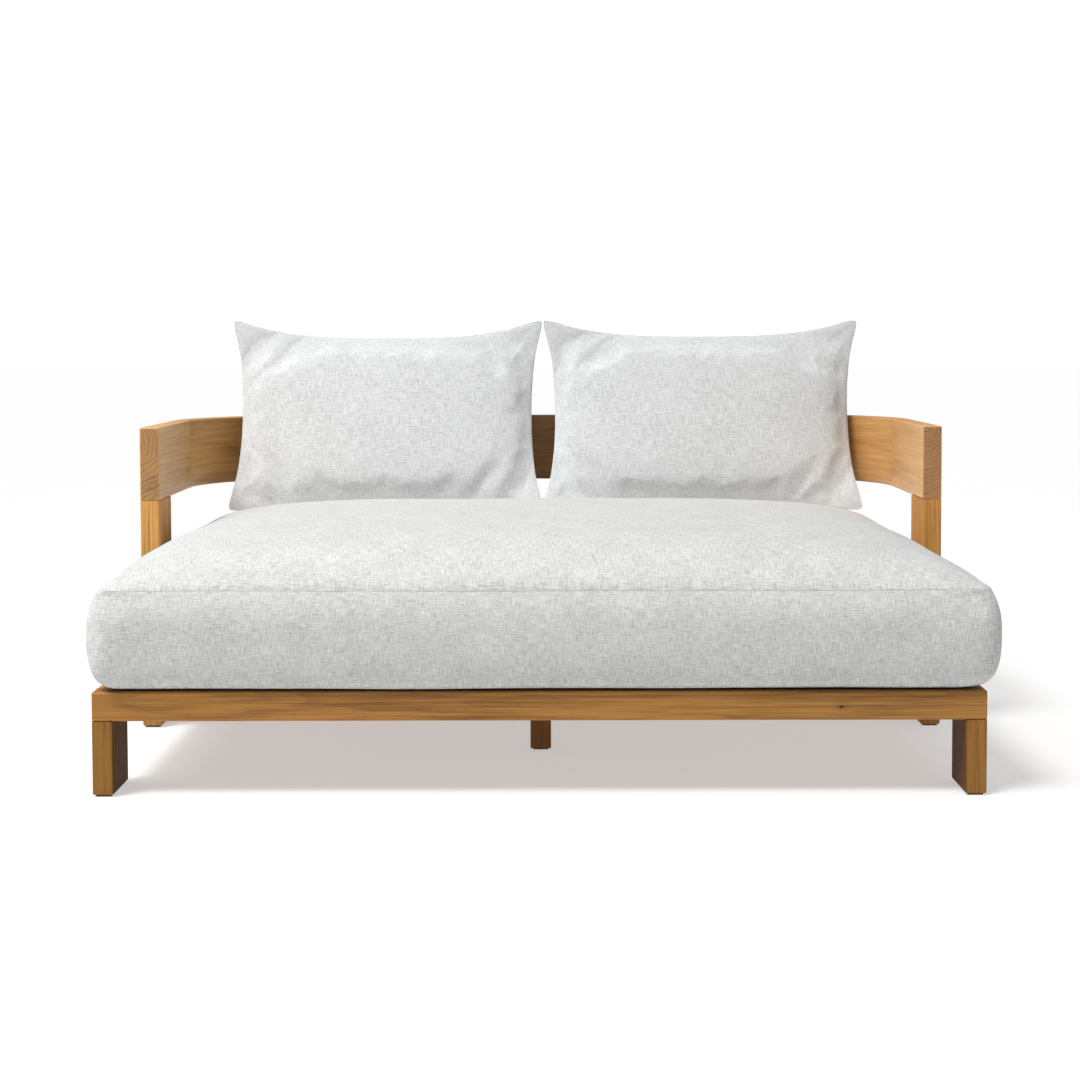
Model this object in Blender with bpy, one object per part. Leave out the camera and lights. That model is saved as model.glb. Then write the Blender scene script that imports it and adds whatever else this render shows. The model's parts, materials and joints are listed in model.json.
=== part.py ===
"""Outdoor teak daybed: a slatted platform on legs, a U-shaped wooden band carried by four posts,
a loose mattress and two loose back pillows. Units are metres, +Z is up, the front faces -Y."""
import math

import bmesh
import bpy
from mathutils import Vector

# Clearances
FIT_GAP = 0.0003          # between two pieces that touch
LOOSE_GAP = 0.0006        # under a cushion that is only laid down

# Platform ring, seen in plan
PLATFORM_WIDTH = 1.800    # over the outer faces of the side rails
PLATFORM_DEPTH = 1.314    # front rail's front face to rear rail's rear face
RAIL_THICK = 0.043
RAIL_TOP = 0.2125
RAIL_HEIGHT = 0.0595
CORNER_RADIUS = 0.279     # outer face of the ring at the two rear corners

# Band and posts, which stand outside the ring
BAND_THICK = 0.046
BAND_TOP = 0.7127
BAND_HEIGHT = 0.173
ARM_FRONT = 0.657         # front end of each arm, behind the front rail's face
POST_DEPTH = 0.134
REAR_POST_X = 0.530       # centre of each rear post from the middle

# Legs and glides
LEG_THICK = 0.043
LEG_DEPTH = 0.130
GLIDE_HEIGHT = 0.003
GLIDE_INSET = 0.006
CENTRE_LEG_SIZE = 0.046
CENTRE_LEG_SPOTS = (0.435, 0.880)   # centres behind the front rail's face

# Slats and the bearers under them
SLAT_COUNT = 13
SLAT_WIDTH = 0.068
SLAT_THICK = 0.018
SLAT_DROP = 0.001         # slat tops below the rail tops
SLAT_END_GAP = 0.003
SLAT_RAIL_GAP = 0.010     # first and last slat to the rails
BEARER_WIDTH = 0.046
BEARER_X = 0.450          # centre of each outer bearer from the middle

# Joinery
TENON_THICK = 0.016
TENON_DEPTH_SHARE = 0.6   # tenon's depth as a share of its post's
TENON_LENGTH = 0.030
BLOCK_LEG = 0.070
BLOCK_HEIGHT = 0.032
BOLT_SHANK_RADIUS = 0.004
BOLT_HEAD_RADIUS = 0.0085
BOLT_HEAD_HEIGHT = 0.005
BOLT_BITE = 0.028         # how far a bolt goes into its post
BOLT_SPACING = 0.070
HOLE_GAP = 0.0004

# Edge rounding
EDGE_ROUND = 0.0042
SLAT_ROUND = 0.0025
ROUND_STEPS = 3
BUTT_SHARE = 0.12         # rounding of an edge hidden in a joint, as a share of the full one
ARC_STEPS = 22

# Mattress
MATTRESS_SIDE_INSET = 0.004
MATTRESS_SEAM_HEIGHT = 0.430
MATTRESS_CROWN = 0.048
MATTRESS_FRONT_RADIUS = 0.045
MATTRESS_FOOT_ROUND = 0.022

# Pillows
PILLOW_WIDTH = 0.826
PILLOW_HEIGHT = 0.494
PILLOW_THICK = 0.170
PILLOW_X = 0.4155         # centre of each pillow from the middle
PILLOW_LEAN = math.radians(14.0)
PILLOW_CORNER = 0.030
PILLOW_FOOT_Y = 1.140     # lower edge, behind the front rail's face

# Colours, linear
TEAK = (0.402, 0.205, 0.062, 1.0)
TEAK_SHADE = (0.330, 0.160, 0.048, 1.0)
STEEL = (0.560, 0.560, 0.550, 1.0)
BLACK = (0.020, 0.020, 0.020, 1.0)
CLOTH = (0.610, 0.605, 0.580, 1.0)
PILLOW_CLOTH = (0.680, 0.675, 0.655, 1.0)

# Worked out from the above
HALF_WIDTH = PLATFORM_WIDTH / 2
BAND_INNER = HALF_WIDTH + FIT_GAP
OVERALL_DEPTH = PLATFORM_DEPTH + FIT_GAP + BAND_THICK
ARC_X = HALF_WIDTH - CORNER_RADIUS
ARC_Y = PLATFORM_DEPTH - CORNER_RADIUS
RAIL_BOTTOM = RAIL_TOP - RAIL_HEIGHT
RAIL_MIDDLE = RAIL_TOP - RAIL_HEIGHT / 2
BAND_BOTTOM = BAND_TOP - BAND_HEIGHT
SLAT_TOP = RAIL_TOP - SLAT_DROP
SLAT_BOTTOM = SLAT_TOP - SLAT_THICK
SIDES = (("left", -1), ("right", 1))


def clear_scene():
    for obj in list(bpy.data.objects):
        bpy.data.objects.remove(obj, do_unlink=True)


def world_y(from_front):
    """The model's Y of a point given by its distance behind the front rail's face."""
    return from_front - OVERALL_DEPTH / 2


def make_material(name, colour, roughness, metallic=0.0):
    mat = bpy.data.materials.new(name)
    mat.use_nodes = True
    shader = mat.node_tree.nodes["Principled BSDF"]
    shader.inputs["Base Color"].default_value = colour
    shader.inputs["Roughness"].default_value = roughness
    shader.inputs["Metallic"].default_value = metallic
    mat.diffuse_color = colour
    return mat


def add_object(name, bm, material, centre):
    """Turn a bmesh drawn in model coordinates into an object whose origin is at centre."""
    bmesh.ops.recalc_face_normals(bm, faces=bm.faces)
    bmesh.ops.translate(bm, verts=bm.verts, vec=-Vector(centre))
    mesh = bpy.data.meshes.new(name)
    bm.to_mesh(mesh)
    bm.free()
    mesh.shade_smooth()
    mesh.set_sharp_from_angle(angle=math.radians(35.0))
    obj = bpy.data.objects.new(name, mesh)
    obj.location = centre
    bpy.context.scene.collection.objects.link(obj)
    if material:
        mesh.materials.append(material)
    return obj


def round_edges(obj, width, steps=ROUND_STEPS):
    bevel = obj.modifiers.new("rounding", "BEVEL")
    bevel.limit_method = "WEIGHT"
    bevel.width = width
    bevel.segments = steps
    return obj


def cut(obj, cutter):
    """Take cutter's shape out of obj."""
    cutter.hide_render = True
    cutter.display_type = "WIRE"
    boolean = obj.modifiers.new("cut_" + cutter.name, "BOOLEAN")
    boolean.operation = "DIFFERENCE"
    boolean.solver = "EXACT"
    boolean.object = cutter


def weigh_edges(bm, is_butt):
    """Give every sharp edge its share of the rounding: less where is_butt(edge) holds."""
    layer = bm.edges.layers.float.new("bevel_weight_edge")
    bmesh.ops.recalc_face_normals(bm, faces=bm.faces)
    for edge in bm.edges:
        if edge.calc_face_angle(0.0) > math.radians(30.0):
            edge[layer] = BUTT_SHARE if is_butt(edge) else 1.0


def box(name, low, high, material, rounding=EDGE_ROUND, steps=ROUND_STEPS, butts=()):
    """A block between two corners. butts names faces such as "+x" whose edges stay nearly sharp."""
    bm = bmesh.new()
    bmesh.ops.create_cube(bm, size=1.0)
    low, high = Vector(low), Vector(high)
    for vert in bm.verts:
        vert.co = Vector(high[i] if vert.co[i] > 0 else low[i] for i in range(3))

    def on_butt(edge):
        for face_name in butts:
            axis = "xyz".index(face_name[1])
            plane = high[axis] if face_name[0] == "+" else low[axis]
            if all(abs(vert.co[axis] - plane) < 1e-6 for vert in edge.verts):
                return True
        return False

    weigh_edges(bm, on_butt)
    obj = add_object(name, bm, material, (low + high) / 2)
    return round_edges(obj, rounding, steps) if rounding else obj


def sweep(name, stations, thick, z_low, z_high, material, butts=(True, True)):
    """A plank set on edge that follows stations, a list of (point, outward normal) in plan."""
    bm = bmesh.new()
    loops = []
    for (x, y), (nx, ny) in stations:
        corners = ((0, z_low), (0, z_high), (thick, z_high), (thick, z_low))
        loops.append([bm.verts.new((x + nx * out, y + ny * out, z)) for out, z in corners])
    for first, second in zip(loops, loops[1:]):
        for i in range(4):
            j = (i + 1) % 4
            bm.faces.new((first[i], first[j], second[j], second[i]))
    caps = [bm.faces.new(loops[0]), bm.faces.new(list(reversed(loops[-1])))]
    butt_faces = [cap for cap, is_butt in zip(caps, butts) if is_butt]
    weigh_edges(bm, lambda edge: any(face in butt_faces for face in edge.link_faces))
    centre = sum((vert.co for vert in bm.verts), Vector()) / len(bm.verts)
    return round_edges(add_object(name, bm, material, centre), EDGE_ROUND)


def arc_stations(side, radius, start_gap):
    """The rear corner as seen in plan, from its side end to its rear end."""
    trim = start_gap / radius
    stations = []
    for step in range(ARC_STEPS + 1):
        angle = trim + (math.pi / 2 - 2 * trim) * step / ARC_STEPS
        nx, ny = side * math.cos(angle), math.sin(angle)
        stations.append(((side * ARC_X + nx * radius, world_y(ARC_Y) + ny * radius), (nx, ny)))
    return stations


def turned(name, profile, material, centre, axis, sides=16):
    """A round piece: profile is (radius, distance along axis), from its first end to its last."""
    bm = bmesh.new()
    rings = []
    for radius, along in profile:
        turns = (2 * math.pi * i / sides for i in range(sides))
        rings.append([bm.verts.new((radius * math.cos(t), radius * math.sin(t), along)) for t in turns])
    for first, second in zip(rings, rings[1:]):
        for i in range(sides):
            j = (i + 1) % sides
            bm.faces.new((first[i], first[j], second[j], second[i]))
    bm.faces.new(rings[0])
    bm.faces.new(rings[-1])
    obj = add_object(name, bm, material, (0, 0, 0))
    obj.location = centre
    obj.rotation_mode = "QUATERNION"
    obj.rotation_quaternion = Vector((0, 0, 1)).rotation_difference(Vector(axis))
    return obj


def stacked(name, rings, material, centre):
    """A closed solid through rings of points, each ring with the same number of points."""
    bm = bmesh.new()
    loops = [[bm.verts.new(point) for point in ring] for ring in rings]
    for first, second in zip(loops, loops[1:]):
        for i in range(len(first)):
            j = (i + 1) % len(first)
            bm.faces.new((first[i], first[j], second[j], second[i]))
    bm.faces.new(loops[0])
    bm.faces.new(loops[-1])
    return add_object(name, bm, material, centre)


def build_ring(teak):
    """Front, side, corner and rear rails. Returns the side rails and the rear rail."""
    front = (world_y(0.0), world_y(RAIL_THICK))
    box("front_rail", (-HALF_WIDTH, front[0], RAIL_BOTTOM), (HALF_WIDTH, front[1], RAIL_TOP), teak)
    rails = {}
    inner = CORNER_RADIUS - RAIL_THICK
    for label, side in SIDES:
        start = ((side * (HALF_WIDTH - RAIL_THICK), front[1] + FIT_GAP), (side, 0))
        end = ((side * (HALF_WIDTH - RAIL_THICK), world_y(ARC_Y) - FIT_GAP / 2), (side, 0))
        rails[label] = sweep("side_rail_" + label, [start, end], RAIL_THICK, RAIL_BOTTOM, RAIL_TOP, teak)
        corner = arc_stations(side, inner, FIT_GAP / 2)
        sweep("corner_rail_" + label, corner, RAIL_THICK, RAIL_BOTTOM, RAIL_TOP, teak)
    rear_y = world_y(PLATFORM_DEPTH - RAIL_THICK)
    reach = ARC_X - FIT_GAP / 2
    ends = [((-reach, rear_y), (0, 1)), ((reach, rear_y), (0, 1))]
    rails["rear"] = sweep("rear_rail", ends, RAIL_THICK, RAIL_BOTTOM, RAIL_TOP, teak)
    return rails


def build_corner_blocks(teak):
    """Triangular blocks screwed inside the two front corners, under the slats."""
    for label, side in SIDES:
        x = side * (HALF_WIDTH - RAIL_THICK - FIT_GAP)
        y = world_y(RAIL_THICK + FIT_GAP)
        plan = [(x, y), (x - side * BLOCK_LEG, y), (x, y + BLOCK_LEG)]
        z_low = RAIL_BOTTOM + FIT_GAP
        rings = [[(px, py, z) for px, py in plan] for z in (z_low, z_low + BLOCK_HEIGHT)]
        stacked("corner_block_" + label, rings, teak, (x, y, z_low))


def tenon(post_name, low, high, run_axis):
    """Corners of the tongue on top of a post; run_axis is the post's wide direction."""
    middle = (Vector(low) + Vector(high)) / 2
    half = [TENON_THICK / 2, TENON_THICK / 2]
    half[run_axis] = TENON_DEPTH_SHARE * (high[run_axis] - low[run_axis]) / 2
    top = high[2]
    tongue_low = (middle[0] - half[0], middle[1] - half[1], top - 0.010)
    tongue_high = (middle[0] + half[0], middle[1] + half[1], top + TENON_LENGTH)
    return box("tongue_" + post_name, tongue_low, tongue_high, None, rounding=0)


def mortise(post_name, low, high, run_axis):
    """The slot for that tongue, larger by the fitting gap on every side."""
    cutter = tenon("slot_" + post_name, low, high, run_axis)
    for vert in cutter.data.vertices:
        for axis in range(3):
            vert.co[axis] += math.copysign(FIT_GAP, vert.co[axis])
    return cutter


def join_tongue(post, tongue):
    tongue.hide_render = True
    tongue.display_type = "WIRE"
    union = post.modifiers.new("tongue", "BOOLEAN")
    union.operation = "UNION"
    union.solver = "EXACT"
    union.object = tongue


def upright(name, low, high, run_axis, teak, receiver):
    """A post or leg with a tongue on top that sits in a slot of receiver."""
    post = box(name, low, high, teak, butts=("+z",))
    join_tongue(post, tenon(name, low, high, run_axis))
    cut(receiver, mortise(name, low, high, run_axis))
    return post


def build_band(teak):
    """The U-shaped band in five lengths."""
    lengths = {}
    for label, side in SIDES:
        start = ((side * BAND_INNER, world_y(ARM_FRONT)), (side, 0))
        end = ((side * BAND_INNER, world_y(ARC_Y) - FIT_GAP / 2), (side, 0))
        arm = sweep("arm_" + label, [start, end], BAND_THICK, BAND_BOTTOM, BAND_TOP, teak, (False, True))
        lengths[label] = arm
        corner = arc_stations(side, CORNER_RADIUS + FIT_GAP, FIT_GAP / 2)
        sweep("band_corner_" + label, corner, BAND_THICK, BAND_BOTTOM, BAND_TOP, teak)
    rear_y = world_y(PLATFORM_DEPTH + FIT_GAP)
    reach = ARC_X - FIT_GAP / 2
    ends = [((-reach, rear_y), (0, 1)), ((reach, rear_y), (0, 1))]
    lengths["rear"] = sweep("back_band", ends, BAND_THICK, BAND_BOTTOM, BAND_TOP, teak)
    return lengths


def build_legs_and_posts(rails, band, teak):
    foot = GLIDE_HEIGHT + FIT_GAP
    for label, side in SIDES:
        xs = sorted((side * HALF_WIDTH, side * (HALF_WIDTH - LEG_THICK)))
        low = (xs[0], world_y(0.0), foot)
        high = (xs[1], world_y(LEG_DEPTH), RAIL_BOTTOM - FIT_GAP)
        leg = box("front_leg_" + label, low, high, teak, butts=("+z",))
        tongue_low = (xs[0], world_y(RAIL_THICK + FIT_GAP), foot)
        join_tongue(leg, tenon("front_leg_" + label, tongue_low, high, 1))
        cut(rails[label], mortise("front_leg_" + label, tongue_low, high, 1))

        xs = sorted((side * BAND_INNER, side * (BAND_INNER + BAND_THICK)))
        low = (xs[0], world_y(ARM_FRONT), foot)
        high = (xs[1], world_y(ARM_FRONT + POST_DEPTH), BAND_BOTTOM - FIT_GAP)
        upright("arm_post_" + label, low, high, 1, teak, band[label])

        middle = side * REAR_POST_X
        low = (middle - POST_DEPTH / 2, world_y(PLATFORM_DEPTH + FIT_GAP), foot)
        high = (middle + POST_DEPTH / 2, world_y(OVERALL_DEPTH), BAND_BOTTOM - FIT_GAP)
        upright("rear_post_" + label, low, high, 0, teak, band["rear"])


def build_glides(plastic):
    """A thin plastic foot under every leg and post."""
    feet = {}
    for label, side in SIDES:
        leg_middle = (side * (HALF_WIDTH - LEG_THICK / 2), world_y(LEG_DEPTH / 2))
        feet["front_leg_" + label] = (leg_middle, (LEG_THICK, LEG_DEPTH))
        arm_middle = (side * (BAND_INNER + BAND_THICK / 2), world_y(ARM_FRONT + POST_DEPTH / 2))
        feet["arm_post_" + label] = (arm_middle, (BAND_THICK, POST_DEPTH))
        rear_middle = (side * REAR_POST_X, world_y(OVERALL_DEPTH - BAND_THICK / 2))
        feet["rear_post_" + label] = (rear_middle, (POST_DEPTH, BAND_THICK))
    for label, spot in zip(("front", "rear"), CENTRE_LEG_SPOTS):
        feet["centre_leg_" + label] = ((0.0, world_y(spot)), (CENTRE_LEG_SIZE, CENTRE_LEG_SIZE))
    for name, (middle, size) in feet.items():
        half = [length / 2 - GLIDE_INSET for length in size]
        low = (middle[0] - half[0], middle[1] - half[1], 0.0)
        high = (middle[0] + half[0], middle[1] + half[1], GLIDE_HEIGHT)
        box("glide_" + name, low, high, plastic, rounding=0)


def build_bearers(teak):
    """Three front-to-rear bearers, two centre legs under the middle one."""
    ys = (world_y(RAIL_THICK + FIT_GAP), world_y(PLATFORM_DEPTH - RAIL_THICK - FIT_GAP))
    z_low, z_high = RAIL_BOTTOM + FIT_GAP, SLAT_BOTTOM - FIT_GAP
    places = (("bearer_left", -BEARER_X), ("centre_beam", 0.0), ("bearer_right", BEARER_X))
    for name, x in places:
        low = (x - BEARER_WIDTH / 2, ys[0], z_low)
        high = (x + BEARER_WIDTH / 2, ys[1], z_high)
        box(name, low, high, teak, SLAT_ROUND, 2, ("+y", "-y"))
    half = CENTRE_LEG_SIZE / 2
    for label, spot in zip(("front", "rear"), CENTRE_LEG_SPOTS):
        low = (-half, world_y(spot) - half, GLIDE_HEIGHT + FIT_GAP)
        high = (half, world_y(spot) + half, z_low - FIT_GAP)
        box("centre_leg_" + label, low, high, teak, SLAT_ROUND, 2, ("+z",))


def slat_half_length(rear_edge):
    """Half the length of a slat whose rear edge lies at rear_edge behind the front face."""
    half = HALF_WIDTH - RAIL_THICK
    if rear_edge > ARC_Y:
        inner = CORNER_RADIUS - RAIL_THICK
        half = ARC_X + math.sqrt(inner ** 2 - (rear_edge - ARC_Y) ** 2)
    return half - SLAT_END_GAP


def build_slats(teak):
    first = RAIL_THICK + SLAT_RAIL_GAP + SLAT_WIDTH / 2
    last = PLATFORM_DEPTH - RAIL_THICK - SLAT_RAIL_GAP - SLAT_WIDTH / 2
    for index in range(SLAT_COUNT):
        middle = first + (last - first) * index / (SLAT_COUNT - 1)
        half = slat_half_length(middle + SLAT_WIDTH / 2)
        low = (-half, world_y(middle - SLAT_WIDTH / 2), SLAT_BOTTOM)
        high = (half, world_y(middle + SLAT_WIDTH / 2), SLAT_TOP)
        box(f"slat_{index + 1:02d}", low, high, teak, SLAT_ROUND, 2)


def build_bolt(name, rail, post, face_point, axis, steel):
    """A bolt from inside the platform through rail into post, with its holes."""
    length = RAIL_THICK + 2 * FIT_GAP + BOLT_BITE
    rim = 0.0012
    profile = [
        (BOLT_HEAD_RADIUS - 2 * rim, -BOLT_HEAD_HEIGHT),
        (BOLT_HEAD_RADIUS, -BOLT_HEAD_HEIGHT + 2 * rim),
        (BOLT_HEAD_RADIUS, 0.0),
        (BOLT_SHANK_RADIUS, 0.0),
        (BOLT_SHANK_RADIUS, length - rim),
        (BOLT_SHANK_RADIUS - rim, length),
    ]
    turned(name, profile, steel, face_point, axis)
    bore = BOLT_SHANK_RADIUS + HOLE_GAP
    hole = [(bore, -BOLT_HEAD_HEIGHT), (bore, length + HOLE_GAP)]
    cutter = turned("hole_" + name, hole, None, face_point, axis)
    cut(rail, cutter)
    cut(post, cutter)


def build_bolts(rails, steel):
    posts = bpy.data.objects
    for label, side in SIDES:
        for index, offset in enumerate((-BOLT_SPACING / 2, BOLT_SPACING / 2)):
            x = side * (HALF_WIDTH - RAIL_THICK - FIT_GAP)
            y = world_y(ARM_FRONT + POST_DEPTH / 2) + offset
            name = f"arm_bolt_{label}_{index + 1}"
            post = posts["arm_post_" + label]
            build_bolt(name, rails[label], post, (x, y, RAIL_MIDDLE), (side, 0, 0), steel)

            x = side * REAR_POST_X + offset
            y = world_y(PLATFORM_DEPTH - RAIL_THICK - FIT_GAP)
            name = f"rear_bolt_{label}_{index + 1}"
            post = posts["rear_post_" + label]
            build_bolt(name, rails["rear"], post, (x, y, RAIL_MIDDLE), (0, 1, 0), steel)


def mattress_outline(shrink):
    """The mattress in plan, pulled in by shrink: rounded front corners, wide rear corners."""
    half = HALF_WIDTH - MATTRESS_SIDE_INSET - shrink
    front = MATTRESS_SIDE_INSET + shrink
    rear = PLATFORM_DEPTH - MATTRESS_SIDE_INSET - shrink
    front_radius = MATTRESS_FRONT_RADIUS
    rear_radius = max(CORNER_RADIUS - shrink, MATTRESS_FRONT_RADIUS)
    corners = (
        (half - rear_radius, rear - rear_radius, rear_radius, 0.0, 12),
        (-half + rear_radius, rear - rear_radius, rear_radius, math.pi / 2, 12),
        (-half + front_radius, front + front_radius, front_radius, math.pi, 4),
        (half - front_radius, front + front_radius, front_radius, 1.5 * math.pi, 4),
    )
    points = []
    for x, y, radius, start, steps in corners:
        for step in range(steps + 1):
            angle = start + math.pi / 2 * step / steps
            points.append((x + radius * math.cos(angle), world_y(y + radius * math.sin(angle))))
    return points


def build_mattress(cloth):
    bottom = RAIL_TOP + LOOSE_GAP
    levels = [
        (MATTRESS_FOOT_ROUND, bottom),
        (MATTRESS_FOOT_ROUND * 0.3, bottom + MATTRESS_FOOT_ROUND * 0.3),
        (0.0, bottom + MATTRESS_FOOT_ROUND),
        (0.0, MATTRESS_SEAM_HEIGHT - 0.012),
        (0.010, MATTRESS_SEAM_HEIGHT),
    ]
    for inward in (0.05, 0.12, 0.24, 0.42, 0.55):
        rise = math.sqrt(1.0 - (1.0 - inward / 0.56) ** 2)
        levels.append((inward, MATTRESS_SEAM_HEIGHT + MATTRESS_CROWN * rise))
    rings = [[(x, y, z) for x, y in mattress_outline(shrink)] for shrink, z in levels]
    stacked("mattress", rings, cloth, (0.0, world_y(PLATFORM_DEPTH / 2), bottom))


def pillow_outline(share):
    """A pillow's rounded rectangle, with both sides scaled by share, around its middle."""
    half_w = share * PILLOW_WIDTH / 2
    half_h = share * PILLOW_HEIGHT / 2
    radius = share * PILLOW_CORNER
    points = []
    for quarter, (sx, sz) in enumerate(((1, 1), (-1, 1), (-1, -1), (1, -1))):
        for step in range(5):
            angle = math.pi / 2 * (quarter + step / 4)
            x = sx * (half_w - radius) + radius * math.cos(angle)
            z = sz * (half_h - radius) + radius * math.sin(angle)
            points.append((x, z))
    return points


def build_pillows(cloth):
    """Two loose pillows that lean on the band."""
    edge = 0.004
    shares = (0.45, 0.70, 0.86, 0.95, 1.0)
    depths = [edge + (PILLOW_THICK / 2 - edge) * math.sqrt(1.0 - share ** 2.4) for share in shares]
    half = list(zip(shares, depths))
    profile = [(share, -depth) for share, depth in half]
    profile += [(share, depth) for share, depth in reversed(half)]
    foot_z = MATTRESS_SEAM_HEIGHT + MATTRESS_CROWN + LOOSE_GAP + edge
    centre_z = foot_z + PILLOW_HEIGHT / 2 * math.cos(PILLOW_LEAN)
    centre_y = world_y(PILLOW_FOOT_Y) + PILLOW_HEIGHT / 2 * math.sin(PILLOW_LEAN)
    for label, side in SIDES:
        rings = [[(x, depth, z) for x, z in pillow_outline(share)] for share, depth in profile]
        pillow = stacked("pillow_" + label, rings, cloth, (0.0, 0.0, 0.0))
        pillow.location = (side * PILLOW_X, centre_y, centre_z)
        pillow.rotation_euler.x = -PILLOW_LEAN


def main():
    clear_scene()
    frame_teak = make_material("teak_platform", TEAK, 0.55)
    band_teak = make_material("teak_band", TEAK, 0.52)
    leg_teak = make_material("teak_legs", TEAK, 0.55)
    slat_teak = make_material("teak_slats", TEAK_SHADE, 0.62)
    rails = build_ring(frame_teak)
    band = build_band(band_teak)
    build_legs_and_posts(rails, band, leg_teak)
    build_corner_blocks(slat_teak)
    build_bearers(slat_teak)
    build_slats(slat_teak)
    build_glides(make_material("glide_plastic", BLACK, 0.6))
    build_bolts(rails, make_material("bolt_steel", STEEL, 0.35, 0.9))
    build_mattress(make_material("mattress_fabric", CLOTH, 0.95))
    build_pillows(make_material("pillow_fabric", PILLOW_CLOTH, 0.95))


main()
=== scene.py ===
"""Looks of the teak daybed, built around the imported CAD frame. Metres, +Z up, front faces -Y."""
import json
import math

import bmesh
import bpy
import numpy as np
from mathutils import Euler, Matrix, Vector, noise
from mathutils.bvhtree import BVHTree


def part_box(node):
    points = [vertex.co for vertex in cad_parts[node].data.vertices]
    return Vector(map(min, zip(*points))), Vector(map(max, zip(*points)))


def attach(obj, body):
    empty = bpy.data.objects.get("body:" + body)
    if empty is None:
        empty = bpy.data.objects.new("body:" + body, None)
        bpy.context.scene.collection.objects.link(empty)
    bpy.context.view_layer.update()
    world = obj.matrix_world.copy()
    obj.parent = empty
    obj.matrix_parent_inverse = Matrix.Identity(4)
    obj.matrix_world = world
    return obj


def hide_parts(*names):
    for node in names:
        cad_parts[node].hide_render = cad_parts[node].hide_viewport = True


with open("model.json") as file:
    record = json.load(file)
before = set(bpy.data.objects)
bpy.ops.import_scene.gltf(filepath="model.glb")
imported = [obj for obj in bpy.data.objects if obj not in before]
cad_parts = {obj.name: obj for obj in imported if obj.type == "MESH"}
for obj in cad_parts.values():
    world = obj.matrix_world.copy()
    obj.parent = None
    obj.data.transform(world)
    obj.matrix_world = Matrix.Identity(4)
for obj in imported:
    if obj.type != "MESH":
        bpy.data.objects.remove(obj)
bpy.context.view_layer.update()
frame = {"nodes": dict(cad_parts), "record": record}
SCENE = bpy.context.scene

# Places read from the frame
FRONT_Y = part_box("front_rail")[0].y
RAIL_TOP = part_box("front_rail")[1].z
HALF_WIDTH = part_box("front_rail")[1].x
BAND_LOW, BAND_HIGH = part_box("back_band")
BAND_FACE_Y = BAND_LOW.y
BAND_FACE_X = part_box("arm_right")[0].x
ARC_X = BAND_HIGH.x
ARC_RADIUS = BAND_FACE_X - ARC_X
ARC_Y = BAND_FACE_Y - ARC_RADIUS
POST_FRONT_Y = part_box("arm_post_right")[0].y

# Mattress
SEAM_HALF = 0.900           # half the width of the seam line between the front and the posts
SEAM_SHIFT = 0.010          # the front of the cover sits this far to the right
SHIFT_REACH = 0.35          # and is back in the middle this far behind the front
SEAM_FRONT = -0.004         # seam line behind the front rail's face
SEAM_POST_GAP = 0.008       # seam line inside the arms' inner faces
SEAM_REAR_INSET = 0.022     # seam line inside the rear band's face
SEAM_HEIGHT = 0.4150
MATTRESS_BOTTOM = RAIL_TOP + 0.0008
FRONT_CORNER = 0.030        # radius of the seam line's front corners
HOLD_REACH = 0.16           # the posts begin to hold the cover this far in front of them
CROWN = 0.1036              # rise of the top panel in its middle
CROWN_REACH = 0.160         # how quickly the top rises inside the seam
CROWN_POWER = 0.61
BULGE_OPEN = 0.0235         # boxing stands out past the seam where nothing holds it
BULGE_POST = 0.0070         # the same beside the posts and the rear
BULGE_HEIGHT = 0.120        # widest level above the mattress's underside
# Creases at the front corners: start and end (from the middle, below the seam), depth, width
CREASES = (
    (0.882, 0.008, 0.800, 0.021, 0.0075, 0.0075),
    (0.872, 0.028, 0.812, 0.040, 0.0045, 0.0085),
    (0.884, 0.018, 0.860, 0.062, 0.0035, 0.0110),
)
UNDER_FRONT = 0.012         # the flat underside ends this far inside the seam, along the front
UNDER_SIDE = 0.028          # along the open sides
UNDER_REAR = 0.003          # and from the posts to the rear
UNDER_LIFT = 0.0045         # in front of the posts its edge is off the platform by about this much
MATTRESS_COLUMNS = 104
MATTRESS_ROWS = 62
FRONT_STEPS, REAR_STEPS = 5, 14   # rows of the grid that round the corners
WALL_RINGS = 20
WAVE, RIPPLE = 0.0022, 0.0012     # unevenness of the cover, in height and in depth

# Pillows: name, centre X, width, and how far the top, sides and foot pull in
PILLOWS = (("pillow_left", -0.4110, 0.824, (0.047, 0.032, 0.014)),
           ("pillow_right", 0.4235, 0.838, (0.043, 0.035, 0.016)))
PILLOW_HEIGHT = 0.512
PILLOW_FRONT, PILLOW_BACK = 0.036, 0.120   # bulge of the two panels
PILLOW_TIP = 0.010          # how far the rounded corners stay short of a sharp one
TIP_REACH = (26, 16)        # powers that keep the rounding near the corners
FOLD_REACH = 0.170          # folds run this far from each corner
FOLD_DEPTH = 0.0030
PILLOW_LEAN = math.radians(13.5)
PILLOW_FOOT = 1.142         # lower edge, behind the front rail's face
PILLOW_SINK = 0.024         # the lower edge is pressed this far into the mattress
PILLOW_COLUMNS = 88
PILLOW_ROWS = 56
EDGE_EASE = 0.55            # share of the grid's steps that narrow towards the sewn edge
# Painted light and shade on the pillow cloth: two heights and the brightness of the cloth at each,
# lighter at the foot and darker at the top, in place of even light
PILLOW_PAINTED_LIGHT = (0.54, 0.96, 1.05, 0.89)

MATTRESS_WELT = 0.0008      # radii of the sewn edges
PILLOW_WELT = 0.0012
TOUCH = 0.0015              # a pillow's cloth stays this far off what it rests on
BAND_ROLL = 1.3             # and bulges back this much per metre above and below the band
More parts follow.
